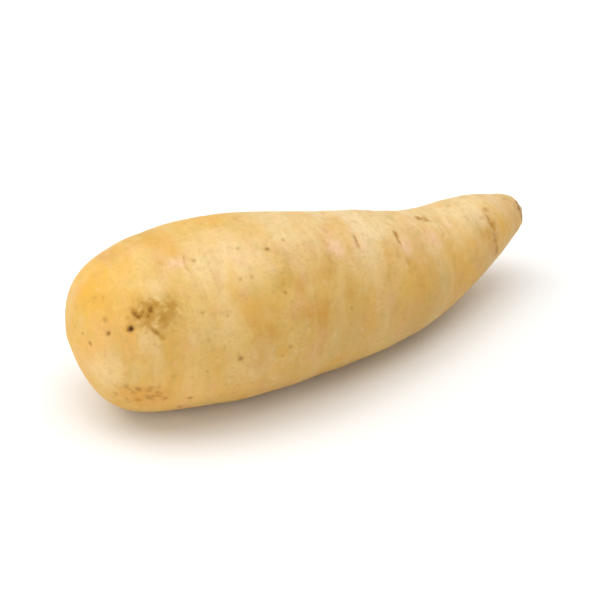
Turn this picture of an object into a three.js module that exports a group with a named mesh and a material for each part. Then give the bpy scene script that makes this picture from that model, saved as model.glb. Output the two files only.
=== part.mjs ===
// An arracacha, lying on its side as picked: one solid root that tapers from a
// blunt thick end to a short scar where its tail was snapped off.
// Frame: millimetres, +Z up, the root along X with its tip at +X, and the origin
// on the surface it lies on, under the middle of its box.

import * as THREE from "three";
import { mergeVertices } from "three/addons/utils/BufferGeometryUtils.js";

// Driving dimensions, in millimetres.
const THICK_END_RADIUS = 24.8;
const TIP_RADIUS = 6.2;
const TIP_TAPER = THREE.MathUtils.degToRad(28); // the slope at which the root meets its tip
const SCAR_RADIUS = 2.3; // the flat snapped face at the very tip
const SETTLED = 0.6; // how far the underside is flattened where the root lies

// The line through the middle of the root: along it, sideways and up.
const CENTRELINE = [
  [-25.5, 8, 25.4],
  [0, -0.5, 24.8],
  [24, -5.5, 25.6],
  [48, -7.6, 22.6],
  [72, -7, 19],
  [91, -4.8, 18.4],
  [106, -2, 20.2],
  [122, 2, 19.4],
];

// The root's radius at distances along its centreline, between its two rounded ends.
const GIRTH = [
  [49, 26],
  [75, 22.8],
  [99, 18.6],
  [119, 14.2],
  [134, 10.5],
];

// Places where the root swells out (+) or is hollowed (-). Each is a soft mound at a
// distance along the root and an angle round it: 0 is the +Y side and 90 the top.
const MOUNDS = [
  { along: 0, angle: 220, reach: 15, height: -2 }, // the blunt face of the thick end
  { along: 5, angle: 300, reach: 15, height: -1.5 }, // and its lower edge
  { along: 0, angle: 70, reach: 10, height: 2 }, // the corner above it
  { along: 10, angle: 240, reach: 10, height: 1.5 }, // the full corner under it
  { along: 15, angle: 50, reach: 10, height: -1 }, // the hollow behind the upper corner
  { along: 30, angle: 75, reach: 15, height: 2 }, // the shoulder
  { along: 50, angle: 240, reach: 20, height: 0.5 }, // the belly
  { along: 55, angle: 50, reach: 10, height: -0.5 }, // the dip after the shoulder
  { along: 70, angle: 20, reach: 20, height: -0.5 }, // the flatter back
  { along: 95, angle: 45, reach: 10, height: 0.5 }, // and the ridge that follows it
  { along: 95, angle: 190, reach: 15, height: 0.5 }, // the full side toward the tip
  { along: 125, angle: 60, reach: 10, height: 1 }, // the swelling after the waist
  { along: 125, angle: 230, reach: 10, height: -0.5 }, // the hollow under it
  { along: 145, angle: 230, reach: 5, height: 0.5 }, // the full side of the tip
];

const SECTION_SIDES = 48;
const PROFILE_DETAIL = 6; // points for each span of the profile's spline, and half of each arc's

const centreline = new THREE.CatmullRomCurve3(
  CENTRELINE.map((point) => new THREE.Vector3(...point)),
);
const rootLength = centreline.getLength();

// Half of the root's outline, straightened: radius across, distance along upwards.
function straightProfile() {
  const profile = new THREE.Path();
  const tipCentre = rootLength - TIP_RADIUS;
  const scarAngle = Math.acos(SCAR_RADIUS / TIP_RADIUS);
  profile.absarc(0, THICK_END_RADIUS, THICK_END_RADIUS, -Math.PI / 2, 0, false);
  const shoulder = new THREE.Vector2(TIP_RADIUS, 0).rotateAround(new THREE.Vector2(), TIP_TAPER);
  profile.splineThru([
    ...GIRTH.map(([along, radius]) => new THREE.Vector2(radius, along)),
    shoulder.add(new THREE.Vector2(0, tipCentre)),
  ]);
  profile.absarc(0, tipCentre, TIP_RADIUS, TIP_TAPER, scarAngle, false);
  profile.lineTo(0, profile.currentPoint.y);
  return profile.getPoints(PROFILE_DETAIL);
}

// How far the mounds move the surface at a distance along the root and an angle round it.
function moundHeight(along, angle, radius) {
  return MOUNDS.reduce((sum, mound) => {
    const turn = Math.cos(angle - THREE.MathUtils.degToRad(mound.angle));
    const sideways = radius * Math.acos(THREE.MathUtils.clamp(turn, -1, 1));
    const distance = Math.hypot(along - mound.along, sideways) / mound.reach;
    return sum + mound.height * Math.exp(-distance * distance);
  }, 0);
}

// Moves a point of the straight root to its place round the bent centreline.
function bend(point) {
  const along = point.y;
  const share = THREE.MathUtils.clamp(along / rootLength, 0, 1);
  const angle = Math.atan2(point.x, point.z);
  const radius = Math.hypot(point.x, point.z);
  const forward = centreline.getTangentAt(share);
  const sideways = new THREE.Vector3(0, 0, 1).cross(forward).normalize();
  const upwards = forward.clone().cross(sideways);
  const reach = radius + moundHeight(along, angle, radius) * Math.min(1, radius / TIP_RADIUS);
  return centreline
    .getPointAt(share)
    .addScaledVector(sideways, reach * Math.cos(angle))
    .addScaledVector(upwards, reach * Math.sin(angle));
}

function rootGeometry() {
  const geometry = new THREE.LatheGeometry(straightProfile(), SECTION_SIDES);
  const position = geometry.getAttribute("position");
  const point = new THREE.Vector3();
  for (let i = 0; i < position.count; i += 1) {
    point.copy(bend(point.fromBufferAttribute(position, i)));
    position.setXYZ(i, point.x, point.y, Math.max(point.z, SETTLED));
  }
  geometry.computeBoundingBox();
  const middle = geometry.boundingBox.getCenter(new THREE.Vector3());
  geometry.translate(-middle.x, -middle.y, -SETTLED);
  geometry.deleteAttribute("normal");
  geometry.deleteAttribute("uv");
  const closed = mergeVertices(geometry);
  closed.computeVertexNormals();
  return closed;
}

const skin = new THREE.MeshStandardMaterial({
  name: "skin",
  color: 0xe3bd7a,
  roughness: 0.55,
  metalness: 0,
});

const root = new THREE.Mesh(rootGeometry(), skin);
root.name = "arracacha_root";

const arracacha = new THREE.Group();
arracacha.add(root);

export default arracacha;
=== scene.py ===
# The looks of the arracacha: one fresh root on a pale floor, in soft studio light.
# The CAD root gives the shape. A fine skin follows it, ring by ring, and carries the
# swells, creases, pits, cracks and scars of a washed root. Lengths are in millimetres,
# apart from those of the floor, the lights and the camera: they are in metres, as
# Blender's own are.
import math
import random
from collections import namedtuple

import bpy
import numpy as np
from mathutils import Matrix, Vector, noise
from mathutils.bvhtree import BVHTree


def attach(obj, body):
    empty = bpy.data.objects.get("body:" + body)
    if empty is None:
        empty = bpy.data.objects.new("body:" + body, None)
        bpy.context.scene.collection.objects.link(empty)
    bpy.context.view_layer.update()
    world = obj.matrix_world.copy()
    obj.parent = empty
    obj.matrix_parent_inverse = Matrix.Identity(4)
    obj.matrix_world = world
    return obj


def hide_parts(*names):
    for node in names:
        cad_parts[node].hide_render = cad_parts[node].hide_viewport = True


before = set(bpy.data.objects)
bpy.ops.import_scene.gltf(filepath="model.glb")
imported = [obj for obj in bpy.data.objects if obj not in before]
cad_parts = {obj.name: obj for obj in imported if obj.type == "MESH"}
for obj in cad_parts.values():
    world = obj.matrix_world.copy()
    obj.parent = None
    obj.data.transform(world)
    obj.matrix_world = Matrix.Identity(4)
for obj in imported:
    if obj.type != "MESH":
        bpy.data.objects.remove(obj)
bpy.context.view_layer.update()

NODE = "arracacha_root"
MM = 0.001

# The grid that the skin is made on: rings along the root, and points round each ring.
CELL = 0.56  # from ring to ring
SIDES = 276
THICK_CAP = 24.0  # from the thick end to the point that its rings fan out from
TIP_CAP = 6.0  # the same at the tip
LINE_STATIONS = 14  # places where the middle of the root is measured
LINE_BENDS = 5  # the degree of the curve through them
SLAB = 4.0  # half the thickness of the slice measured at each place
FACET_BLUR_ROUND = 4.5  # in cells: this smooths the CAD model's facets away
FACET_BLUR_ALONG = 3.0
BLUR_REACH = 3  # how many times its width a blur takes in, to each side

# ---------------------------------------------------------------------------
# The marks on the skin. Each is at a distance along the root from its thick end, and at
# an angle round it: 0 is the +Y side, 90 the top, 180 the -Y side and 270 below.
# ---------------------------------------------------------------------------
Pit = namedtuple("Pit", "along angle radius depth shade")
PITS = [
    Pit(12, 145, 0.85, 0.80, 1.00),  # the deep one, in front of the bruise
    Pit(7, 130, 0.65, 0.15, 0.45),
    Pit(7, 145, 0.55, 0.30, 0.75),
    Pit(2, 135, 0.40, 0.15, 0.50),
    Pit(3, 155, 0.50, 0.20, 0.65),
    Pit(1, 150, 0.45, 0.10, 0.25),
    Pit(27, 210, 0.55, 0.20, 0.65),
    Pit(25, 225, 0.55, 0.20, 0.65),
    Pit(22, 185, 0.50, 0.10, 0.25),
    Pit(34, 110, 0.50, 0.20, 0.55),
    Pit(46, 110, 0.50, 0.15, 0.45),
    Pit(53, 115, 0.50, 0.25, 0.70),
    Pit(58, 110, 0.45, 0.20, 0.50),
    Pit(47, 130, 0.40, 0.15, 0.35),
    Pit(44, 130, 0.45, 0.15, 0.40),
    Pit(32, 145, 0.45, 0.15, 0.40),
    Pit(38, 150, 0.45, 0.15, 0.40),
    Pit(54, 145, 0.40, 0.15, 0.50),
    Pit(40, 180, 0.60, 0.30, 0.70),
    Pit(54, 180, 0.50, 0.20, 0.50),
    Pit(52, 185, 0.40, 0.15, 0.40),
    Pit(31, 185, 0.40, 0.15, 0.35),
    Pit(36, 200, 0.35, 0.10, 0.30),
    Pit(73, 165, 0.40, 0.15, 0.40),
    Pit(108, 90, 0.80, 0.20, 0.40),  # the scar of a side root, on the top near the tip
    Pit(110, 95, 0.65, 0.15, 0.35),
    Pit(144, 95, 0.50, 0.10, 0.50),
]

# The freckles under the thick end. They are pits that hardly dent the skin.
FRECKLES = [
    Pit(10, 200, 0.85, 0.05, 0.44),
    Pit(12, 204, 0.60, 0.05, 0.45),
    Pit(13, 198, 0.80, 0.08, 0.56),
    Pit(16, 196, 0.70, 0.05, 0.42),
    Pit(18, 194, 0.60, 0.05, 0.30),
    Pit(8, 216, 0.60, 0.05, 0.45),
    Pit(13, 212, 0.75, 0.05, 0.46),
    Pit(16, 208, 0.80, 0.08, 0.56),
    Pit(18, 204, 0.75, 0.05, 0.46),
    Pit(20, 208, 0.60, 0.05, 0.42),
    Pit(11, 222, 0.80, 0.05, 0.40),
]

# A crack runs across the root. Its tilt turns it, in degrees, and its bow bends it. Its
# length is from end to end, and its width from its middle line to its edge.
Crack = namedtuple("Crack", "along angle length tilt bow width depth shade")
CRACKS = [
    Crack(32, 110, 7.0, -5, 0.4, 0.20, 0.10, 0.35),
    Crack(79, 115, 7.0, -5, 0.3, 0.40, 0.25, 0.55),
    Crack(78, 130, 4.0, 0, 0.1, 0.20, 0.08, 0.25),
    Crack(94, 115, 5.0, -5, 0.2, 0.45, 0.30, 0.50),
    Crack(94, 135, 5.0, 5, 0.3, 0.22, 0.08, 0.18),
    Crack(132, 125, 8.0, -5, 0.3, 0.50, 0.30, 0.32),  # the one round the tip
    Crack(131, 160, 8.0, -5, 0.4, 0.50, 0.12, 0.30),
]

# A stain is a soft brown mark that lies across the root, or is tilted as a crack is. It
# is measured as a crack is, too.
Stain = namedtuple("Stain", "along angle length width tilt shade")
STAINS = [
    Stain(14, 134, 3.4, 1.0, 25, 0.82),  # the bent mark in the bruise
    Stain(14.5, 137, 2.4, 1.2, 0, 0.84),
    Stain(15.5, 135, 3.2, 0.9, -40, 0.78),
    Stain(18, 134, 3.4, 1.1, -10, 0.90),  # the hook beside it
    Stain(17, 138, 2.6, 1.0, -45, 0.75),
    Stain(16.5, 144, 3.4, 1.1, 20, 0.45),
    Stain(18, 150, 5.0, 0.8, 40, 0.72),
    Stain(20, 155, 3.0, 1.0, 60, 0.45),
    Stain(20, 132, 3.4, 1.5, 0, 0.50),
    Stain(21, 142, 4.4, 1.2, -10, 0.60),
    Stain(24, 135, 3.2, 1.3, 0, 0.48),
    Stain(17, 128, 3.0, 1.4, 0, 0.32),
    Stain(12, 136, 2.6, 1.1, 0, 0.38),
    Stain(16, 150, 2.8, 1.2, 0, 0.24),
    Stain(8, 110, 4.5, 1.8, 10, 0.22),
    Stain(1, 105, 4.0, 0.8, 0, 0.22),
    Stain(54, 135, 9.0, 1.0, 5, 0.18),
    Stain(69, 115, 4.0, 0.9, 0, 0.22),
    Stain(69, 125, 5.0, 0.9, -5, 0.24),
    Stain(94, 110, 2.8, 0.8, 0, 0.62),
    Stain(94, 138, 3.2, 1.4, 0, 0.28),
    Stain(94, 145, 3.6, 1.5, 0, 0.28),
    Stain(108, 90, 3.2, 1.3, 0, 0.58),  # over the side root's scar
    Stain(110, 95, 3.0, 1.1, 0, 0.45),
    Stain(133, 110, 2.6, 1.0, 0, 0.50),  # down the crack round the tip
    Stain(132, 125, 4.0, 0.9, -5, 0.36),
    Stain(132, 136, 3.8, 1.2, 0, 0.52),
    Stain(131, 155, 5.0, 1.3, 0, 0.30),
    Stain(131, 180, 4.0, 1.3, 0, 0.50),
]

# Soft patches, where the skin has another tone or has been hurt.
Patch = namedtuple("Patch", "along angle reach strength")

# Warm yellow, round the thick end and along the near side, and one patch of painted shade on the
# top rim.
WARM = [
    Patch(3, 82, 23, 0.72),
    Patch(20, 80, 16, 0.3),
    # painted shade with a warm reflected glow on the top rim, not the skin's own tone
    Patch(45, 62, 14, 0.6),
    Patch(2, 290, 16, 0.7),
    Patch(9, 175, 15, 0.3),
    Patch(22, 205, 14, 0.75),
    Patch(46, 155, 9, 0.4),
    Patch(74, 150, 12, 0.4),
    Patch(96, 155, 13, 0.65),
    Patch(116, 157, 13, 0.7),
    Patch(127, 146, 5, 0.6),
    Patch(137, 154, 9, 0.75),
]

# Pale cream, mostly along the top: partly the skin's own tone, partly a painted highlight where
# the light falls on the top.
PALE = [
    Patch(25, 103, 10, 0.5),
    Patch(22, 120, 5, 0.7),
    Patch(43, 110, 15, 0.85),
    Patch(39, 150, 13, 0.5),
    Patch(42, 190, 12, 0.5),
    Patch(60, 95, 20, 0.8),
    Patch(84, 104, 22, 1.0),
    Patch(105, 108, 20, 1.0),
    Patch(126, 108, 18, 1.1),
    Patch(140, 110, 10, 1.1),
    Patch(96, 132, 12, 1.0),
    Patch(119, 132, 10, 1.1),
    # painted light: these two lighten the near, lower side of the thick end
    Patch(5, 172, 14, 0.8),
    Patch(24, 205, 12, 0.8),
]

# Tan, mostly low down: partly the skin's own tone, partly painted shade on the lower side.
OLIVE = [
    Patch(72, 192, 22, 0.7),
    Patch(100, 190, 20, 0.9),
    Patch(125, 195, 15, 0.7),
    Patch(139, 202, 8, 0.9),
    Patch(75, 224, 12, 0.9),
    Patch(60, 250, 40, 0.6),
    Patch(123, 143, 4, 0.5),
]

# Small blotches of orange-brown, and of pink.
AMBER = [
    Patch(62, 163, 7, 0.9),
    Patch(44, 172, 4, 0.6),
    Patch(58, 138, 6, 0.8),
    Patch(56, 155, 5, 0.6),
    Patch(48, 164, 9, 0.6),
    Patch(70, 150, 6, 0.5),
    Patch(89, 131, 7, 0.6),
    Patch(68, 136, 7, 0.5),
    Patch(95, 140, 5, 0.6),
    Patch(130, 138, 5, 0.8),
    Patch(130, 156, 6, 0.6),
    Patch(140, 190, 6, 0.7),
    Patch(14, 207, 9, 0.7),
    Patch(8, 110, 4, 0.5),
    Patch(102, 150, 8, 0.4),
    Patch(30, 320, 14, 0.6),
    Patch(92, 300, 12, 0.6),
    Patch(70, 20, 12, 0.5),
]
ROSE = [
    Patch(28, 108, 4, 0.8),
    Patch(71, 103, 3, 1.1),
    Patch(71, 119, 4, 1.3),
    Patch(96, 123, 4, 0.8),
    Patch(107, 120, 4, 1.2),
    Patch(115, 100, 5, 0.6),
    Patch(81, 122, 4, 0.6),
    Patch(53, 126, 5, 0.4),
    Patch(48, 20, 8, 0.6),
    Patch(84, 340, 7, 0.7),
    Patch(24, 330, 6, 0.6),
]

# Rubbed and sunken skin, and freckled skin.
BRUISES = [
    Patch(17, 137, 5.5, 1.0),
    Patch(22, 140, 6.5, 0.9),
    Patch(109, 92, 4, 0.6),
    Patch(4, 330, 8, 0.9),
    Patch(64, 300, 7, 0.8),
]
SPECKS = [Patch(12, 209, 5, 0.8), Patch(17, 206, 5, 0.8), Patch(53, 181, 3, 0.3)]

# The side away from the viewer has marks of its own, at places that chance picks. About
# half of them gather round a few spots, as the marks on the near side do.
FAR_SEED = 21
FAR_PITS = 30
FAR_CRACKS = 7
FAR_STAINS = 16
FAR_SIDE = (238, 408)  # the angles that they lie between
FAR_ALONG = (6, 138)
CLUSTERS = [(22, 335), (64, 300), (70, 385), (112, 345)]  # each along, angle
CLUSTER_SPREAD = (6, 14)  # in millimetres along, and in degrees round
CLUSTER_SHARE = 0.5
MARK_ROOM = 2.5  # how close two of them may come, in millimetres

# What chance gives each of them, at least and at most.
FAR_PIT_RADIUS = (0.3, 0.7)
FAR_CRACK_DRAWS = [(3, 9), (-10, 10), (-0.5, 0.5), (0.3, 0.6)]  # length, tilt, bow, shade
FAR_STAIN_DRAWS = [(1.5, 5), (0.5, 1.3), (-15, 15), (0.2, 0.6)]  # length, width, tilt, shade
FAR_PIT_SHADE = 0.2  # the least
FAR_PIT_DARKER = 0.6  # and how much chance may add to it
FAR_PIT_DEPTH = 0.35  # at full shade
FAR_CRACK_DEPTH = 0.5
FAR_CRACK_WIDTH = 0.3


# ---------------------------------------------------------------------------
# The root's shape, from the CAD model
# ---------------------------------------------------------------------------
def unit(vectors):
    """The same vectors, each with a length of one."""
    return vectors / np.linalg.norm(vectors, axis=-1, keepdims=True)


def middle_line(points, start, end):
    """Two functions of x, for the y and the z of the line through the root's middle."""
    stations = np.linspace(start, end, LINE_STATIONS)
    middles = []
    for x in stations:
        slab = points[np.abs(points[:, 0] - x) < SLAB]
        middles.append((slab.min(axis=0) + slab.max(axis=0)) / 2)
    middles = np.array(middles)
    fit = np.polynomial.Polynomial.fit
    return fit(stations, middles[:, 1], LINE_BENDS), fit(stations, middles[:, 2], LINE_BENDS)


class Rays:
    """The rays that find the skin: one ring of them for each row of the grid.

    Along the root's body they leave the middle line square to it. Over each end they
    fan out from the last point of the line, as the rings of a globe do.
    """

    def __init__(self, points):
        start = points[:, 0].min() + THICK_CAP
        end = points[:, 0].max() - TIP_CAP
        y, z = middle_line(points, start, end)
        thick_fan = np.linspace(-90, 0, round(THICK_CAP * math.pi / 2 / CELL), endpoint=False)[1:]
        tip_fan = -np.linspace(-90, 0, round(TIP_CAP * math.pi / 2 / CELL), endpoint=False)[:0:-1]
        body = np.linspace(start, end, round((end - start) / CELL))
        x = np.concatenate([np.full(len(thick_fan), start), body, np.full(len(tip_fan), end)])
        self.origin = np.stack([x, y(x), z(x)], axis=1)
        self.forward = unit(np.stack([np.ones_like(x), y.deriv()(x), z.deriv()(x)], axis=1))
        self.sideways = unit(np.cross([0, 0, 1], self.forward))
        self.upwards = np.cross(self.forward, self.sideways)
        self.fan = np.radians(np.concatenate([thick_fan, np.zeros(len(body)), tip_fan]))
        self.angle = np.arange(SIDES) * 2 * math.pi / SIDES
        steps = np.linalg.norm(np.diff(self.origin, axis=0), axis=1)
        self.travelled = np.concatenate([[0], np.cumsum(steps)])

    def directions(self):
        """The direction of every ray, as a table of rows and sides."""
        round_it = (
            np.cos(self.angle)[None, :, None] * self.sideways[:, None, :]
            + np.sin(self.angle)[None, :, None] * self.upwards[:, None, :]
        )
        fan = self.fan[:, None, None]
        return np.cos(fan) * round_it + np.sin(fan) * self.forward[:, None, :]

    def unbent(self, radius):
        """Where each point would be if the root were straight, with its axis along X."""
        across = radius * np.cos(self.fan)[:, None]
        along = self.travelled[:, None] + radius * np.sin(self.fan)[:, None]
        return np.stack([along, across * np.cos(self.angle), across * np.sin(self.angle)], axis=2)


def smoothed(table, spread, axis, mode):
    """The table, blurred along one axis by a bell curve that is `spread` cells wide."""
    reach = math.ceil(BLUR_REACH * spread)
    weights = np.exp(-0.5 * (np.arange(-reach, reach + 1) / spread) ** 2)
    widths = [(0, 0), (0, 0)]
    widths[axis] = (reach, reach)
    padded = np.pad(table, widths, mode=mode)
    places = np.arange(table.shape[axis])
    total = sum(w * padded.take(places + k, axis=axis) for k, w in enumerate(weights))
    return total / weights.sum()


def skin_radius(tree, rays):
    """How far each ray goes to reach the CAD root's surface, with its facets smoothed."""
    directions = rays.directions()
    radius = np.empty(directions.shape[:2])
    for row, origin in enumerate(rays.origin):
        start = Vector(origin)
        for side in range(SIDES):
            *_, distance = tree.ray_cast(start, Vector(directions[row, side]))
            radius[row, side] = distance
    radius = smoothed(radius, FACET_BLUR_ROUND, axis=1, mode="wrap")
    return smoothed(radius, FACET_BLUR_ALONG, axis=0, mode="reflect")


def grid_steps(points):
    """The step from each point of the grid to the next, along the root and round it."""
    along = np.gradient(points, axis=0)
    around = (np.roll(points, -1, axis=1) - np.roll(points, 1, axis=1)) / 2
    return along, around


class Skin:
    """The grid of points on the root's surface, before any relief."""

    def __init__(self, node):
        mesh = node.data
        points = np.array([v.co for v in mesh.vertices]) / MM
        faces = [tuple(p.vertices) for p in mesh.polygons]
        tree = BVHTree.FromPolygons([Vector(p) for p in points], faces)
        rays = Rays(points)
        radius = skin_radius(tree, rays)
        self.points = rays.origin[:, None, :] + radius[..., None] * rays.directions()
        self.unbent = rays.unbent(radius)
        self.unbent[..., 0] -= self.unbent[..., 0].min()
        self.angle = np.degrees(rays.angle)
        along, around = grid_steps(self.points)
        self.along = unit(along)
        self.around = unit(around)
        self.outward = unit(np.cross(around, along))
        self.tip = self.points[-1].mean(axis=0)

    def spot(self, along, angle):
        """The row and side of the grid point at that distance along and angle round."""
        side = round(angle / 360 * SIDES) % SIDES
        row = np.abs(self.unbent[:, side, 0] - along).argmin()
        return row, side

    def offsets(self, along, angle):
        """How far every point is from a spot: along the root, round it, and in all."""
        spot = self.spot(along, angle)
        away = self.points - self.points[spot]
        return away @ self.along[spot], away @ self.around[spot], np.linalg.norm(away, axis=2)

    def turned(self, mark):
        """The same for a tilted mark: along its length, off to its side, and in all."""
        along, around, distance = self.offsets(mark.along, mark.angle)
        turn = math.radians(mark.tilt)
        run = around * math.cos(turn) + along * math.sin(turn)
        return run, along * math.cos(turn) - around * math.sin(turn), distance


# ---------------------------------------------------------------------------
# Fields over the skin: noise, patches, stains, pits and cracks
# ---------------------------------------------------------------------------
SEED_SHIFT = 100  # how far the noise of one seed may be moved, in sizes of its lumps

# The material reads the offsets from the nearest pit and crack, up to these distances.
PIT_FIELD = 2.0
CRACK_FIELD = 2.0
FIELD_FADE = 0.6  # the share of that distance from which they fade
NO_PIT = 5.0  # the offset where no pit is near, in radii

# A crack is whole within the first of these shares of its length from its middle, and
# has closed at the second.
CRACK_WHOLE = 0.2
CRACK_CLOSED = 0.55
BOW_MIDDLE = 0.5  # half of its bow lies to each side of its place
GROOVE_MARGIN = 0.2  # how much wider its groove is than its dark line
LIP_OFFSET = 1.2  # how far beside it its raised lips run
LIP_WIDTH = 0.6
LIP_HEIGHT = 0.3  # as a share of its depth


def smooth_noise(places, size, seed):
    """Soft random lumps of about that size, from -1 to 1. A size may differ by axis."""
    shift = random.Random(seed).uniform(0, SEED_SHIFT)
    flat = (places / np.array(size)).reshape(-1, 3) + shift
    values = [noise.noise(Vector(p)) for p in flat]
    return np.array(values).reshape(places.shape[:2])


def fade(values, full, none):
    """1 where values reach `full`, 0 where they reach `none`, and a soft step between."""
    share = np.clip((values - none) / (full - none), 0, 1)
    return share * share * (3 - 2 * share)


def patch_field(skin, patches):
    """The strength of the patches over the skin. Where two overlap, the stronger counts."""
    field = np.zeros(skin.points.shape[:2])
    for patch in patches:
        *_, distance = skin.offsets(patch.along, patch.angle)
        field = np.maximum(field, patch.strength * np.exp(-((distance / patch.reach) ** 2)))
    return field


def stain_field(skin, stains):
    """The same for the stains, none of which reaches further than twice its length."""
    field = np.zeros(skin.points.shape[:2])
    for stain in stains:
        run, off, distance = skin.turned(stain)
        shape = (2 * run / stain.length) ** 2 + (off / stain.width) ** 2
        shown = fade(distance, stain.length, stain.length * 2)
        field = np.maximum(field, stain.shade * shown * np.exp(-shape))
    return field


def far_side_places(skin, count, chance):
    """Places for marks on the side away from the viewer, with some room between them."""
    taken = [skin.points[skin.spot(mark.along, mark.angle)] for mark in PITS + FRECKLES + CRACKS]
    places = []
    while len(places) < count:
        along, angle = chance.uniform(*FAR_ALONG), chance.uniform(*FAR_SIDE)
        if chance.random() < CLUSTER_SHARE:
            middle = chance.choice(CLUSTERS)
            along, angle = (chance.gauss(m, spread) for m, spread in zip(middle, CLUSTER_SPREAD))
        point = skin.points[skin.spot(along, angle)]
        inside = FAR_SIDE[0] < angle < FAR_SIDE[1]
        if inside and min(np.linalg.norm(point - other) for other in taken) > MARK_ROOM:
            taken.append(point)
            places.append((along, angle))
    return places


def far_side_marks(skin):
    """Pits, cracks and stains for the side away from the viewer."""
    chance = random.Random(FAR_SEED)
    places = far_side_places(skin, FAR_PITS + FAR_CRACKS + FAR_STAINS, chance)
    pits, cracks, stains = [], [], []
    for along, angle in places[:FAR_PITS]:
        shade = FAR_PIT_SHADE + FAR_PIT_DARKER * chance.random() ** 2
        radius = chance.uniform(*FAR_PIT_RADIUS)
        pits.append(Pit(along, angle, radius, FAR_PIT_DEPTH * shade, shade))
    for along, angle in places[FAR_PITS:-FAR_STAINS]:
        length, tilt, bow, shade = (chance.uniform(*draw) for draw in FAR_CRACK_DRAWS)
        depth = FAR_CRACK_DEPTH * shade
        cracks.append(Crack(along, angle, length, tilt, bow, FAR_CRACK_WIDTH, depth, shade))
    for along, angle in places[-FAR_STAINS:]:
        length, width, tilt, shade = (chance.uniform(*draw) for draw in FAR_STAIN_DRAWS)
        stains.append(Stain(along, angle, length, width, tilt, shade))
    return pits, cracks, stains


def pit_fields(skin, pits):
    """For the nearest pit: its offsets in radii, its shade, and the dent that it makes."""
    shape = skin.points.shape[:2]
    offsets = np.zeros(shape + (3,))
    offsets[..., 0] = NO_PIT
    nearest = np.full(shape, PIT_FIELD)
    dent = np.zeros(shape)
    for pit in pits:
        along, around, distance = skin.offsets(pit.along, pit.angle)
        dent += pit.depth * np.exp(-((distance / pit.radius) ** 2))
        near = distance < nearest
        nearest[near] = distance[near]
        offsets[near, 0] = along[near] / pit.radius
        offsets[near, 1] = around[near] / pit.radius
        shown = fade(distance[near], PIT_FIELD * FIELD_FADE, PIT_FIELD)
        offsets[near, 2] = pit.shade * shown
    return offsets, dent


def crack_fields(skin, cracks):
    """For the nearest crack: how far to its side, its strength and shade; and its groove."""
    shape = skin.points.shape[:2]
    sides = np.zeros(shape + (3,))
    nearest = np.full(shape, CRACK_FIELD)
    groove = np.zeros(shape)
    for crack in cracks:
        run, off, distance = skin.turned(crack)
        off = off - crack.bow * ((2 * run / crack.length) ** 2 - BOW_MIDDLE)
        ends = fade(np.abs(run), crack.length * CRACK_WHOLE, crack.length * CRACK_CLOSED)
        ends *= distance < crack.length
        cut = np.exp(-((off / (crack.width + GROOVE_MARGIN)) ** 2))
        lips = np.exp(-(((np.abs(off) - LIP_OFFSET) / LIP_WIDTH) ** 2))
        groove += crack.depth * ends * (cut - LIP_HEIGHT * lips)
        near = (np.abs(off) < nearest) & (ends > 0)
        nearest[near] = np.abs(off)[near]
        shown = fade(np.abs(off[near]), CRACK_FIELD * FIELD_FADE, CRACK_FIELD)
        sides[near, 0] = off[near] / crack.width
        sides[near, 1] = ends[near] * shown
        sides[near, 2] = crack.shade
    return sides, groove


# ---------------------------------------------------------------------------
# Relief
# ---------------------------------------------------------------------------
# Soft random lumps: how high and how large they are, and the seed of their noise. Three
# sizes are those along the straightened root, and across it both ways.
Lumps = namedtuple("Lumps", "height size seed")
SWELLS = Lumps(0.38, (26, 18, 18), 1)
WAISTS = Lumps(0.17, (7, 24, 24), 2)
RINGS = Lumps(0.08, (2.6, 13, 13), 3)
GRAIN = Lumps(0.035, 1.8, 4)
BRUISE_LUMPS = Lumps(0.06, 2.6, 5)
RING_GAPS = Lumps(0.5, (22, 16, 16), 6)  # they make the rings strong here and weak there
SCAR_EDGE = Lumps(1.2, 2.6, 7)
CORK_LUMPS = Lumps(0.16, 1.1, 8)

# The rings deepen toward the tip, between these distances from the thick end.
SMOOTH_END = 70
RINGED_END = 138
LEAST_RINGS = 0.3  # as a share of their height, before they deepen
GAP_MIDDLE = 0.5
LEAST_IN_GAPS = 0.4  # the share of them that is left where they are weakest

BRUISE_DEPTH = 0.15
SCAR = 4.1  # how far the snapped face reaches from its middle
SCAR_OFF = (-0.3, -2.0, 0.2)  # its middle, from the tip's: the face leans to the near side
SCAR_RIM = 0.10  # the height of its rim
SCAR_RIM_WIDTH = 0.8
SCAR_SINKS = 0.2  # how far inside its edge it begins to sink
SCAR_SUNK = 1.0  # and how far inside it has sunk
SCAR_DEPTH = 0.12
CORE_HEIGHT = 0.2  # the stub in the middle of the face
CORE_RADIUS = 1.1


def lumps(places, kind):
    """Lumps of that kind at those places, up or down by at most about their height."""
    return kind.height * smooth_noise(places, kind.size, kind.seed)


def creasing(skin):
    """Shallow rings that pass part of the way round, deeper toward the tip."""
    toward_tip = fade(skin.unbent[..., 0], RINGED_END, SMOOTH_END)
    patchy = GAP_MIDDLE + lumps(skin.unbent, RING_GAPS)
    rings = lumps(skin.unbent, RINGS) * (LEAST_RINGS + toward_tip) * (LEAST_IN_GAPS + patchy)
    return lumps(skin.unbent, WAISTS) + rings


def scar_relief(skin, to_tip):
    """The snapped face: sunk and rough inside a low, uneven rim."""
    uneven = to_tip + lumps(skin.points, SCAR_EDGE)
    rim = SCAR_RIM * np.exp(-(((uneven - SCAR) / SCAR_RIM_WIDTH) ** 2))
    sunk = fade(uneven, SCAR - SCAR_SUNK, SCAR - SCAR_SINKS)
    core = CORE_HEIGHT * np.exp(-((to_tip / CORE_RADIUS) ** 2))
    return rim + sunk * (lumps(skin.points, CORK_LUMPS) - SCAR_DEPTH + core)


def relief(skin, creases, bruise, to_tip):
    """How far the skin stands out from the smooth root, before its pits and cracks."""
    rough = bruise * (lumps(skin.points, BRUISE_LUMPS) - BRUISE_DEPTH)
    surface = lumps(skin.unbent, SWELLS) + creases + lumps(skin.points, GRAIN) + rough
    return surface + scar_relief(skin, to_tip)


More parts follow.
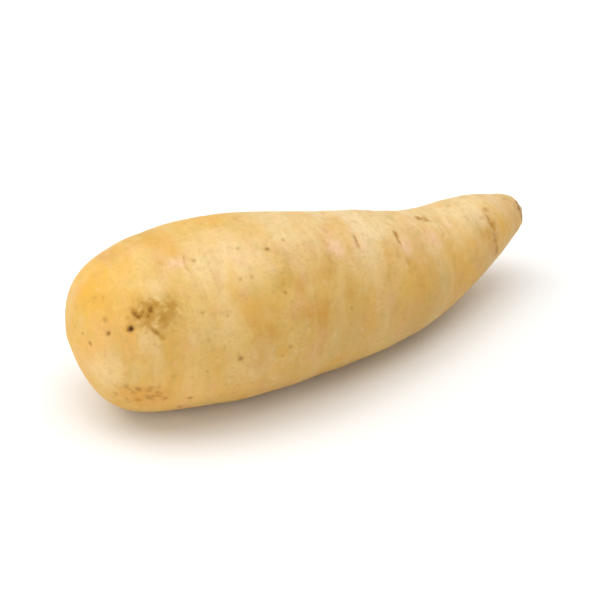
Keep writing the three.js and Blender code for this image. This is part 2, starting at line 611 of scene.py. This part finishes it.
def raised(skin, height):
    """The skin's points moved out by height, and kept above the floor they lie on."""
    points = skin.points + height[..., None] * skin.outward
    points[..., 2] = np.maximum(points[..., 2], 0)
    return points


# ---------------------------------------------------------------------------
# The mesh
# ---------------------------------------------------------------------------
def grid_faces(rows):
    """Quads between the rings, and a fan of triangles over the pole at each end."""
    thick_pole = rows * SIDES
    tip_pole = thick_pole + 1
    last = (rows - 1) * SIDES
    faces = []
    for side in range(SIDES):
        after = (side + 1) % SIDES
        faces.append((thick_pole, after, side))
        faces.append((tip_pole, last + side, last + after))
    for row in range(rows - 1):
        here, beyond = row * SIDES, (row + 1) * SIDES
        for side in range(SIDES):
            after = (side + 1) % SIDES
            faces.append((here + side, here + after, beyond + after, beyond + side))
    return faces


def with_poles(field):
    """A field's values as a flat list, with one more for each pole."""
    flat = field.reshape(-1, *field.shape[2:])
    return np.concatenate([flat, field[:1].mean(axis=1), field[-1:].mean(axis=1)])


def add_field(mesh, name, field):
    """Three numbers for every point of the mesh, for the material to read by that name."""
    attribute = mesh.attributes.new(name, "FLOAT_VECTOR", "POINT")
    attribute.data.foreach_set("vector", with_poles(field).astype(np.float32).ravel())


def unwrap(mesh, rows):
    """A map of the skin as one strip: along the root one way, and round it the other."""
    corners = []  # of the faces, in the order that grid_faces makes them
    for side in range(SIDES):
        corners += [(0, side + 0.5), (1, side + 1), (1, side)]
        corners += [(rows + 1, side + 0.5), (rows, side), (rows, side + 1)]
    for row in range(1, rows):
        for side in range(SIDES):
            corners += [(row, side), (row, side + 1), (row + 1, side + 1), (row + 1, side)]
    layer = mesh.uv_layers.new(name="OFBake")
    layer.data.foreach_set("uv", (np.array(corners) / (rows + 1, SIDES)).ravel())


def build_root(skin):
    """The root's mesh, with the fields that its material reads."""
    far_pits, far_cracks, far_stains = far_side_marks(skin)
    pits, dent = pit_fields(skin, PITS + FRECKLES + far_pits)
    cracks, groove = crack_fields(skin, CRACKS + far_cracks)
    bruise, specks, amber, rose = (patch_field(skin, p) for p in (BRUISES, SPECKS, AMBER, ROSE))
    to_tip = np.linalg.norm(skin.points - skin.tip - SCAR_OFF, axis=2)
    creases = creasing(skin)
    points = raised(skin, relief(skin, creases, bruise, to_tip) - dent - groove)
    mesh = bpy.data.meshes.new("root")
    mesh.from_pydata((with_poles(points) * MM).tolist(), [], grid_faces(len(points)))
    mesh.shade_smooth()
    unwrap(mesh, len(points))
    add_field(mesh, "unbent", skin.unbent * MM)
    add_field(mesh, "pit", pits)
    add_field(mesh, "crack", cracks)
    tones = [patch_field(skin, patches) for patches in (WARM, PALE, OLIVE)]
    stains = stain_field(skin, STAINS + far_stains)
    # the pale and tan tones are partly painted highlight on the top and painted shade low down
    add_field(mesh, "tone", np.stack(tones, axis=2))
    add_field(mesh, "damage", np.stack([bruise, specks, stains], axis=2))
    # the creases' depth goes along too, and the material darkens them with it as painted shade
    add_field(mesh, "tint", np.stack([amber, rose, creases], axis=2))
    add_field(mesh, "tip", np.stack([to_tip, to_tip, to_tip], axis=2))
    mesh.update()
    root = bpy.data.objects.new("root", mesh)
    bpy.context.scene.collection.objects.link(root)
    return root


# ---------------------------------------------------------------------------
# Materials
# ---------------------------------------------------------------------------
def colour(code):
    """Linear RGBA from a six-digit sRGB code, by the sRGB standard's own formula."""
    parts = [int(code[k:k + 2], 16) / 255 for k in (0, 2, 4)]
    linear = [p / 12.92 if p <= 0.04045 else ((p + 0.055) / 1.055) ** 2.4 for p in parts]
    return (*linear, 1.0)


# A noise over the straightened root: soft lumps, `size` millimetres long and `stretch`
# times as far round it. The shift keeps one noise from following another.
Noise = namedtuple("Noise", "size stretch detail distortion shift", defaults=(1.0, 2.0, 0.0, 0.0))
NOISE_MIDDLE = 0.5  # a noise lies about this value

# A colour to lay over the skin by some measure of it. It begins to show where the measure
# passes `none`, and shows by its full `share` from `full` on.
Tint = namedtuple("Tint", "none full share code")

# Which sockets of a Mix node belong to the mixing of colours.
MIX_SHARE, MIX_A, MIX_B, MIX_RESULT = 0, 6, 7, 2


class Nodes:
    """Adds the nodes of one material. A value may be a number or another node's output."""

    def __init__(self, name):
        self.material = bpy.data.materials.new(name)
        self.material.use_nodes = True
        self.tree = self.material.node_tree
        self.shader = self.tree.nodes["Principled BSDF"]

    def add(self, kind, values, **settings):
        """A new node, with values for its sockets and settings of its own."""
        node = self.tree.nodes.new(kind)
        for name, value in settings.items():
            setattr(node, name, value)
        for key, value in values.items():
            self.put(node.inputs[key], value)
        return node

    def put(self, socket, value):
        """Links a socket to another node's output, or gives it a value."""
        if isinstance(value, bpy.types.NodeSocket):
            self.tree.links.new(value, socket)
        else:
            socket.default_value = value

    def field(self, name):
        """The three numbers of a field on the mesh."""
        read = self.add("ShaderNodeAttribute", {}, attribute_name=name)
        split = self.add("ShaderNodeSeparateXYZ", {0: read.outputs["Vector"]})
        return split.outputs["X"], split.outputs["Y"], split.outputs["Z"]

    def root_vector(self, stretch, shift):
        """Places on the straightened root, drawn out round it by `stretch`."""
        read = self.add("ShaderNodeAttribute", {}, attribute_name="unbent").outputs["Vector"]
        scale = (1, 1 / stretch, 1 / stretch)
        values = {"Vector": read, "Scale": scale, "Location": (shift, 0, 0)}
        return self.add("ShaderNodeMapping", values).outputs[0]

    def math(self, operation, a, b=0.0):
        return self.add("ShaderNodeMath", {0: a, 1: b}, operation=operation).outputs[0]

    def times(self, a, b):
        return self.math("MULTIPLY", a, b)

    def plus(self, a, b):
        return self.math("ADD", a, b)

    def minus(self, a, b):
        return self.math("SUBTRACT", a, b)

    def step(self, value, none, full):
        """0 at `none`, 1 at `full`, with a soft step between."""
        values = {"Value": value, "From Min": none, "From Max": full}
        return self.add("ShaderNodeMapRange", values, interpolation_type="SMOOTHSTEP").outputs[0]

    def noise(self, kind):
        """The value of a noise at each place, mostly well between 0 and 1."""
        values = {
            "Vector": self.root_vector(kind.stretch, kind.shift),
            "Scale": 1 / (kind.size * MM),
            "Detail": kind.detail,
            "Distortion": kind.distortion,
        }
        return self.add("ShaderNodeTexNoise", values).outputs[0]

    def swing(self, value, reach):
        """How far a noise's value is from its middle one, times `reach`."""
        return self.times(self.minus(value, NOISE_MIDDLE), reach)

    def blend(self, share, a, b):
        """The colour that has that share of b, and the rest of a."""
        values = {MIX_SHARE: share, MIX_A: a, MIX_B: b}
        return self.add("ShaderNodeMix", values, data_type="RGBA").outputs[MIX_RESULT]

    def shown(self, tint, measure):
        """From 0 to 1, how far a tint shows where the measure is so high."""
        return self.step(measure, tint.none, tint.full)

    def lay(self, tint, shown, skin):
        """The skin with a tint over it, where and as far as it is shown."""
        return self.blend(self.times(shown, tint.share), skin, colour(tint.code))

    def tinted(self, tint, measure, skin):
        """The skin with a tint over it that shows by that measure."""
        return self.lay(tint, self.shown(tint, measure), skin)


# The skin's own tones. A broad noise makes the wide ones drift, and a finer one breaks up
# the small ones.
BROAD = Noise(20, detail=3)
PATCHY = Noise(4, 1.6, 4, shift=1.0)
DRIFT = 0.7
PATCHINESS = 2.0
CREAM = "d6ac58"
LIGHT_TINT = Tint(0.35, 0.65, 1.0, "ddb96a")
# Pale cream: partly the skin's own, partly painted highlight on the top and painted light low on
# the thick end.
PALE_TINT = Tint(0.1, 1.1, 1.0, "ebd09c")
# Tan: partly the skin's own, partly painted shade on the lower side.
OLIVE_TINT = Tint(0.1, 1.2, 1.0, "c4a260")
WARM_TINT = Tint(0.05, 1.1, 1.0, "e2a932")
AMBER_TINT = Tint(0.2, 1.2, 0.8, "cc943a")
ROSE_TINT = Tint(0.2, 1.2, 0.65, "f2ccaa")
# Brown where the waists and rings sink: painted shade in the creases.
CREASE_SHADE_TINT = Tint(-0.03, -0.28, 0.7, "be8846")


def base_tones(n):
    """Cream skin, warmer and paler in broad patches, and tan underneath. The pale top is partly
    painted highlight, the tan partly painted shade, and the brown in the creases is painted
    shade.
    """
    warm, pale, olive = n.field("tone")
    amber, rose, creases = n.field("tint")
    broad = n.noise(BROAD)
    drift = n.swing(broad, DRIFT)
    patchy = n.swing(n.noise(PATCHY), PATCHINESS)
    skin = n.tinted(LIGHT_TINT, broad, colour(CREAM))
    skin = n.tinted(PALE_TINT, n.plus(pale, drift), skin)
    skin = n.tinted(OLIVE_TINT, n.plus(olive, drift), skin)
    skin = n.tinted(WARM_TINT, n.plus(warm, drift), skin)
    skin = n.tinted(AMBER_TINT, n.plus(amber, patchy), skin)
    skin = n.tinted(ROSE_TINT, n.plus(rose, patchy), skin)
    return n.tinted(CREASE_SHADE_TINT, creases, skin)


# A cloudy layer of colour, made of one noise and shown by it as a tint is by its measure.
Cloud = namedtuple("Cloud", "size stretch detail none full share code")
BANDS = [
    Cloud(7.7, 4.5, 3, 0.48, 0.72, 0.45, "d59c3c"),
    Cloud(7.7, 4.5, 3, 0.46, 0.26, 0.35, "ecd2a2"),
    Cloud(3.4, 6.0, 3, 0.48, 0.76, 0.32, "c08c48"),
    Cloud(1.5, 5.5, 4, 0.48, 0.80, 0.18, "b98a4c"),
    Cloud(0.8, 5.0, 3, 0.50, 0.85, 0.10, "a87a3e"),
]
MOTTLES = [
    Cloud(9.0, 1.7, 3, 0.48, 0.70, 0.45, "dba034"),
    Cloud(9.0, 1.7, 3, 0.44, 0.28, 0.30, "e9cf9c"),
    Cloud(5.0, 1.5, 4, 0.50, 0.74, 0.28, "dca17c"),
    Cloud(5.0, 1.5, 4, 0.47, 0.27, 0.28, "b5a75a"),
    Cloud(2.6, 1.2, 4, 0.50, 0.74, 0.26, "b88a44"),
    Cloud(2.6, 1.2, 4, 0.46, 0.26, 0.16, "f0d9ae"),
    Cloud(1.0, 1.0, 3, 0.50, 0.78, 0.26, "a98040"),
]
CLOUD_SHIFT = 0.37  # from each layer's noise to the next one's
CALMING = 0.45  # how much weaker the layers are where the skin is warm
BANDED = Noise(14, shift=2.0)  # where the bands are strong
BANDED_STEP = (0.38, 0.65)
LEAST_BANDED = 0.5


def clouded(n, skin, clouds, strength):
    """The skin with those layers over it, each of them by that strength."""
    for number, cloud in enumerate(clouds):
        kind = Noise(cloud.size, cloud.stretch, cloud.detail, shift=number * CLOUD_SHIFT)
        shown = n.shown(cloud, n.noise(kind))
        share = n.times(shown, n.times(strength, cloud.share))
        skin = n.blend(share, skin, colour(cloud.code))
    return skin


def growth(n, skin):
    """Faint bands that run across the root, and mottles, weaker where the skin is warm."""
    warm, _, _ = n.field("tone")
    calm = n.minus(1.0, n.times(warm, CALMING))
    places = n.step(n.noise(BANDED), *BANDED_STEP)
    banding = n.plus(LEAST_BANDED, n.times(places, 1 - LEAST_BANDED))
    banded = clouded(n, skin, BANDS, n.times(calm, banding))
    return clouded(n, banded, MOTTLES, calm)


# Scattered round dots. Chance gives each one a size, up to a radius of `widest` spacings.
# Those with less chance than `none` don't show, and those with more than `full` show fully.
Dots = namedtuple("Dots", "spacing widest stretch shift none full")
PORES = Dots(3.6, 0.15, 1.4, 0.0, 0.60, 0.85)
FLECKS = Dots(2.1, 0.50, 1.0, 3.0, 0.25, 0.60)
DOT_EDGE = 0.10  # how soft a dot's edge is to each side, in spacings
PORE_SHARE = 0.20
PORE_COLOUR = "b5853c"


def dots(n, kind):
    """How strongly dots of that kind show, from 0 to 1."""
    vector = n.root_vector(kind.stretch, kind.shift)
    values = {"Vector": vector, "Scale": 1 / (kind.spacing * MM), "Randomness": 1.0}
    cells = n.add("ShaderNodeTexVoronoi", values)
    chance = n.add("ShaderNodeSeparateXYZ", {0: cells.outputs["Color"]}).outputs["X"]
    beyond = n.minus(cells.outputs["Distance"], n.times(chance, kind.widest))
    return n.times(n.step(beyond, DOT_EDGE, -DOT_EDGE), n.step(chance, kind.none, kind.full))


# The colours that pits and cracks give the skin. A pit's measure is the distance from its
# middle in radii, and a crack's the distance from its line in widths.
PIT_CORE = Tint(1.7, 0.1, 1.0, "562c00")
PIT_HALO = Tint(2.6, 0.6, 0.45, "b07c2c")
PIT_NOISE = Noise(0.8, detail=3)
PIT_RAGGED = 1.2
PIT_CORE_POWER = 2.0  # the cores of faint pits are much fainter than their halos
CRACK_CORE = Tint(1.6, 0.1, 1.0, "8c500a")
CRACK_HALO = Tint(5.0, 0.5, 0.5, "cd9248")
CRACK_NOISE = Noise(1.25, detail=4)
CRACK_RAGGED = 3.0
CRACK_BREAKS = Noise(2.4)  # where a crack's line is broken
CRACK_BREAK_STEP = (0.30, 0.55)


def pit_shade(n):
    """How dark the pits make the skin, at their middles and round about."""
    along, around, shade = n.field("pit")
    square = n.plus(n.times(along, along), n.times(around, around))
    reach = n.plus(n.math("SQRT", square), n.swing(n.noise(PIT_NOISE), PIT_RAGGED))
    core = n.times(n.shown(PIT_CORE, reach), n.math("POWER", shade, PIT_CORE_POWER))
    return core, n.times(n.shown(PIT_HALO, reach), shade)


def crack_shade(n):
    """How dark the cracks make the skin, along their lines and beside them."""
    side, strength, shade = n.field("crack")
    broken = n.step(n.noise(CRACK_BREAKS), *CRACK_BREAK_STEP)
    off = n.math("ABSOLUTE", n.plus(side, n.swing(n.noise(CRACK_NOISE), CRACK_RAGGED)))
    strong = n.times(strength, shade)
    core = n.times(n.shown(CRACK_CORE, off), n.times(strong, broken))
    return core, n.times(n.shown(CRACK_HALO, off), strong)


# The two noises that the marks, the roughness and the bump share.
COARSE = Noise(1.9, detail=5, distortion=0.5)
FINE = Noise(0.8, detail=4, distortion=0.3)

# The bruise shows as smudges, which join toward its middle. The stains on it have a soft
# brown edge and a dark middle.
BRUISE_STEP = (0.1, 0.9)
SMUDGE_JOINS = 0.20
SMUDGE = Tint(0.40, 0.76, 0.80, "b68a3c")
STAIN_EDGE = Tint(0.05, 0.50, 0.70, "b5832c")
STAIN_EDGE_RAGGED = 0.5
STAIN_CORE = Tint(0.40, 0.95, 0.90, "7a4800")
STAIN_CORE_RAGGED = 0.6
FRECKLED_TINT = Tint(0.0, 1.0, 0.50, "d2963a")
FLECK_TINT = Tint(0.25, 0.75, 0.75, "a06c1a")
FLECK_STEP = (0.35, 0.55)  # the coarse noise takes some of the flecks away


def hurt_skin(n, skin, coarse, fine):
    """The bruise, the stains and the freckled patches; and how rough they make the skin."""
    bruise, specks, stain = n.field("damage")
    filled = n.plus(coarse, n.times(bruise, SMUDGE_JOINS))
    smudge = n.times(n.step(bruise, *BRUISE_STEP), n.shown(SMUDGE, filled))
    skin = n.lay(SMUDGE, smudge, skin)
    skin = n.tinted(STAIN_EDGE, n.plus(stain, n.swing(coarse, STAIN_EDGE_RAGGED)), skin)
    dark = n.shown(STAIN_CORE, n.plus(stain, n.swing(fine, STAIN_CORE_RAGGED)))
    skin = n.lay(STAIN_CORE, dark, skin)
    skin = n.tinted(FRECKLED_TINT, specks, skin)
    flecks = n.times(n.shown(FLECK_TINT, specks), dots(n, FLECKS))
    flecks = n.times(flecks, n.step(coarse, *FLECK_STEP))
    return n.lay(FLECK_TINT, flecks, skin), n.plus(smudge, dark)


# The snapped face. Its steps are in millimetres out from the scar's edge, and those inside
# the edge are negative.
FACE_NOISE = Noise(3.6, detail=2, shift=4.0)
FACE_RAGGED = 2.0
FACE_UNEVEN = 2.6
FACE_STEP = (0.1, -0.7)
FACE_SHARE = 0.9
CORK = "c0975a"
LIGHT_CORK = Tint(0.30, 0.70, 1.0, "dfc595")
DARK_CORK = Tint(0.38, 0.66, 0.7, "a17438")
CORE_TINT = Tint(1.8, 0.3, 0.5, "8a5a24")  # by the distance from the scar's middle
RING_TINT = Tint(0.20, 0.60, 1.0, "95602a")  # the brown edge
RING_REACH = 0.8
RING_INSIDE = (-0.6, 0.9)
RING_WIDENING = 1.8  # how much further in the ring reaches here and there
RING_WIDE_STEP = (0.35, 0.65)


def cork_tones(n, to_tip, coarse, fine):
    """Dry cork, with darker specks and a brown core."""
    cork = n.tinted(LIGHT_CORK, fine, colour(CORK))
    cork = n.tinted(DARK_CORK, coarse, cork)
    return n.tinted(CORE_TINT, to_tip, cork)


def tip_scar(n, skin, coarse, fine):
    """The dry, corky face where the tail was snapped off, and its brown edge."""
    to_tip, _, _ = n.field("tip")
    uneven = n.noise(FACE_NOISE)
    edge = n.plus(to_tip, n.swing(coarse, FACE_RAGGED))
    edge = n.plus(edge, n.swing(uneven, FACE_UNEVEN))
    face = n.step(edge, *(SCAR + beyond for beyond in FACE_STEP))
    wider = n.times(n.step(uneven, *RING_WIDE_STEP), RING_WIDENING)
    inner = n.minus(n.plus(edge, wider), SCAR)
    ring = n.times(n.step(edge, SCAR + RING_REACH, SCAR), n.step(inner, *RING_INSIDE))
    ring = n.times(ring, n.shown(RING_TINT, fine))
    skin = n.blend(n.times(face, FACE_SHARE), skin, cork_tones(n, to_tip, coarse, fine))
    return n.lay(RING_TINT, ring, skin), face


ROUGHNESS = 0.46
ROUGH_STEP = (0.35, 0.75)
ROUGHER_PLACES = 0.12  # what the coarse noise adds to it at most
ROUGHER_MARKS = 0.2  # and what each kind of mark adds

# How high or deep the bump is, in millimetres.
FINE_BUMP = 0.06
STREAK_BUMP = 0.02
STREAKS = Noise(0.9, 4, 3)
SPECKLE_BUMP = 0.02
SPECKLE = Noise(0.3)
PORE_BUMP = 0.06
PIT_BUMP = 0.15
CRACK_BUMP = 0.20
CORK_BUMP = 0.5


def skin_material():
    """The skin's colour, roughness and bump, from the fields on the mesh."""
    n = Nodes("root_skin")
    coarse, fine = n.noise(COARSE), n.noise(FINE)
    skin = growth(n, base_tones(n))
    skin, rough_skin = hurt_skin(n, skin, coarse, fine)
    pores = dots(n, PORES)
    skin = n.blend(n.times(pores, PORE_SHARE), skin, colour(PORE_COLOUR))
    pit_core, pit_halo = pit_shade(n)
    skin = n.lay(PIT_HALO, pit_halo, skin)
    skin = n.lay(PIT_CORE, pit_core, skin)
    crack_core, crack_halo = crack_shade(n)
    skin = n.lay(CRACK_HALO, crack_halo, skin)
    skin = n.lay(CRACK_CORE, crack_core, skin)
    skin, face = tip_scar(n, skin, coarse, fine)
    n.put(n.shader.inputs["Base Color"], skin)

    rough = n.plus(ROUGHNESS, n.times(n.step(coarse, *ROUGH_STEP), ROUGHER_PLACES))
    marks = n.plus(n.plus(pores, pit_core), n.plus(face, rough_skin))
    n.put(n.shader.inputs["Roughness"], n.plus(rough, n.times(marks, ROUGHER_MARKS)))

    height = n.plus(n.times(fine, FINE_BUMP), n.times(n.noise(STREAKS), STREAK_BUMP))
    height = n.plus(height, n.times(n.noise(SPECKLE), SPECKLE_BUMP))
    height = n.minus(height, n.times(pores, PORE_BUMP))
    cuts = n.plus(n.times(pit_core, PIT_BUMP), n.times(crack_core, CRACK_BUMP))
    height = n.plus(n.minus(height, cuts), n.times(n.times(face, coarse), CORK_BUMP))
    bump = n.add("ShaderNodeBump", {"Height": height, "Strength": 1.0, "Distance": MM})
    n.put(n.shader.inputs["Normal"], bump.outputs[0])

    n.shader.inputs["Specular IOR Level"].default_value = 0.25
    n.shader.inputs["Subsurface Weight"].default_value = 0.2
    n.shader.inputs["Subsurface Radius"].default_value = (1.0, 0.5, 0.2)
    n.shader.inputs["Subsurface Scale"].default_value = 0.003
    return n.material


def floor_material():
    """Plain, nearly white and matt."""
    n = Nodes("floor")
    n.shader.inputs["Base Color"].default_value = colour("f8f8f7")
    n.shader.inputs["Roughness"].default_value = 0.8
    return n.material


# ---------------------------------------------------------------------------
# Floor, lights and camera
# ---------------------------------------------------------------------------
FLOOR_SIZE = 6.0
BRIGHTNESS = 0.46  # of the white world round about
VIEW_AZIMUTH = math.radians(-31.5)
VIEW_ELEVATION = math.radians(35)
VIEW_DISTANCE = 1.0
VIEW_WIDTH = 0.1705  # how much the picture takes in, at the root


def view_direction(azimuth, elevation):
    """From the root towards the viewer."""
    flat = math.cos(elevation)
    return Vector((math.sin(azimuth) * flat, -math.cos(azimuth) * flat, math.sin(elevation)))


def add_floor():
    half = FLOOR_SIZE / 2
    corners = [(-half, -half, 0), (half, -half, 0), (half, half, 0), (-half, half, 0)]
    mesh = bpy.data.meshes.new("floor")
    mesh.from_pydata(corners, [], [(0, 1, 2, 3)])
    floor = bpy.data.objects.new("floor", mesh)
    bpy.context.scene.collection.objects.link(floor)
    floor.data.materials.append(floor_material())


def add_softbox(name, azimuth, elevation, distance, size, watts):
    """A round light that faces the root, placed by angles in degrees, as the view is."""
    light = bpy.data.lights.new(name, "AREA")
    light.shape = "DISK"
    light.size = size
    light.energy = watts
    lamp = bpy.data.objects.new(name, light)
    direction = view_direction(math.radians(azimuth), math.radians(elevation))
    lamp.location = direction * distance
    lamp.rotation_euler = direction.to_track_quat("Z", "Y").to_euler()
    bpy.context.scene.collection.objects.link(lamp)


def add_world(brightness):
    world = bpy.data.worlds.new("studio")
    world.use_nodes = True
    background = world.node_tree.nodes["Background"]
    background.inputs["Color"].default_value = (1, 1, 1, 1)
    background.inputs["Strength"].default_value = brightness
    bpy.context.scene.world = world


def middle_of_view(points, direction):
    """The point that the points' outline is centred on, as seen from that direction."""
    turn = direction.to_track_quat("Z", "Y").to_matrix()
    seen = np.array(points) @ np.array(turn)
    return turn @ Vector((seen.min(axis=0) + seen.max(axis=0)) / 2)


def add_camera(points):
    camera = bpy.data.cameras.new("camera")
    camera.lens = camera.sensor_width * VIEW_DISTANCE / VIEW_WIDTH
    viewer = bpy.data.objects.new("camera", camera)
    direction = view_direction(VIEW_AZIMUTH, VIEW_ELEVATION)
    viewer.location = middle_of_view(points, direction) + direction * VIEW_DISTANCE
    viewer.rotation_euler = direction.to_track_quat("Z", "Y").to_euler()
    bpy.context.scene.collection.objects.link(viewer)
    bpy.context.scene.camera = viewer


# ---------------------------------------------------------------------------
# The scene
# ---------------------------------------------------------------------------
skin = Skin(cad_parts[NODE])
root = build_root(skin)
root.data.materials.append(skin_material())
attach(root, "root")
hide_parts(NODE)

add_floor()
add_camera([vertex.co for vertex in root.data.vertices])
add_world(BRIGHTNESS)
add_softbox("key", azimuth=-135, elevation=55, distance=1.0, size=0.9, watts=4.4)
add_softbox("fill", azimuth=-70, elevation=22, distance=1.5, size=1.2, watts=5.9)
add_softbox("overhead", azimuth=75, elevation=78, distance=1.2, size=1.2, watts=7.5)
bpy.context.scene.view_settings.view_transform = "Standard"
